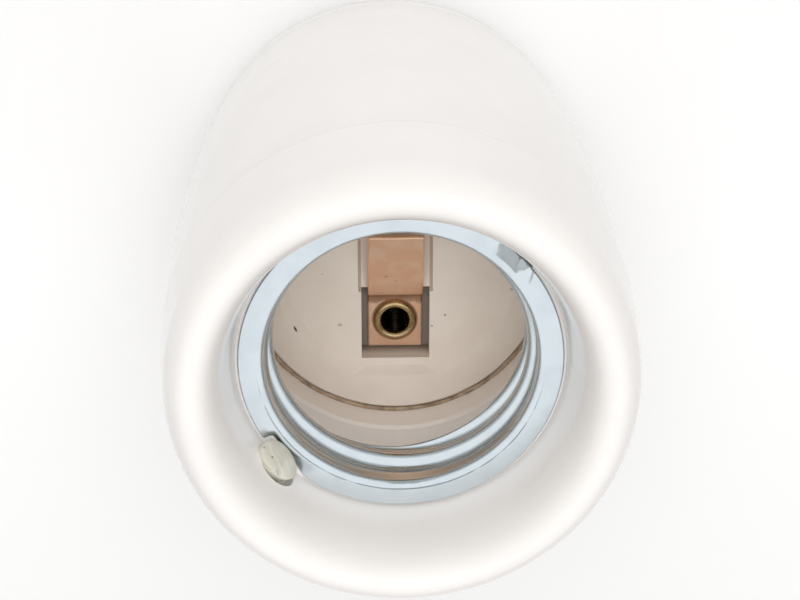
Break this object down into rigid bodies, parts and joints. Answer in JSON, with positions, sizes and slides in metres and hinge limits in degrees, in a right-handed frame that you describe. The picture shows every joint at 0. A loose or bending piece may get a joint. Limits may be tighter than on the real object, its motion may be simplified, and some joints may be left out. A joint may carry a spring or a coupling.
{
  "type": "lamp holder",
  "caption": "Round porcelain pendant lamp holder with a screw shell for an E27 lamp cap, centre contact, hidden wire terminals and a threaded rear entry.",
  "frame": {"origin": "centre of the flat back face, where the holder stands", "axes": "+Z along the lamp's axis, out of the lamp opening; the centre contact strip lies along Y with its rivet at -Y"},
  "size_m": [0.0456, 0.0456, 0.0601],
  "materials": {
    "porcelain": "glossy white glaze",
    "insert_ceramic": "unglazed beige-grey",
    "cement": "rough, stained brown",
    "plug_cement": "matt off-white",
    "plated_steel": "bright plated",
    "copper": "dull copper",
    "brass": "satin",
    "zinc_steel": "zinc plated",
    "fibre": "matt",
    "dark_steel": "blackened"
  },
  "bodies": {
    "holder": {"front_collar": "porcelain", "rear_body": "porcelain", "contact_insert": "insert_ceramic", "joint_cement": "cement", "screw_shell": "plated_steel", "shell_lock_plugs": "plug_cement", "centre_contact": "copper", "shell_contact_strip": "brass", "centre_rivet": "brass", "shell_rivet": "brass", "centre_terminal": "brass", "shell_terminal": "brass", "entry_bush": "zinc_steel", "entry_ring_nut": "zinc_steel", "entry_washer": "fibre"},
    "centre_clamp": {"centre_wire_clamp": "zinc_steel"},
    "centre_screw": {"centre_terminal_screw": "zinc_steel"},
    "shell_clamp": {"shell_wire_clamp": "zinc_steel"},
    "shell_screw": {"shell_terminal_screw": "zinc_steel"},
    "lock_screw": {"entry_lock_screw": "dark_steel"}
  },
  "joints": [
    {"name": "centre_clamp_travel", "type": "slide", "parent": "holder", "child": "centre_clamp", "axis": [0, 0, -1], "range_m": [0, 0.0018]},
    {"name": "centre_screw_turn", "type": "hinge", "parent": "centre_clamp", "child": "centre_screw", "pos_m": [0.0072, -0.0068, 0.0175], "axis": [0, 0, -1], "range_deg": [0, 1080]},
    {"name": "shell_clamp_travel", "type": "slide", "parent": "holder", "child": "shell_clamp", "axis": [0, 0, -1], "range_m": [0, 0.0018]},
    {"name": "shell_screw_turn", "type": "hinge", "parent": "shell_clamp", "child": "shell_screw", "pos_m": [0, 0.0037, 0.0175], "axis": [0, 0, -1], "range_deg": [0, 1080]},
    {"name": "lock_screw_travel", "type": "slide", "parent": "holder", "child": "lock_screw", "axis": [1, 0, 0], "range_m": [-0.0009, 0.0015]}
  ],
  "couplings": [
    {"joint": "centre_screw_turn", "follows": "centre_clamp_travel", "rad_per_m": 10472},
    {"joint": "shell_screw_turn", "follows": "shell_clamp_travel", "rad_per_m": 10472}
  ]
}
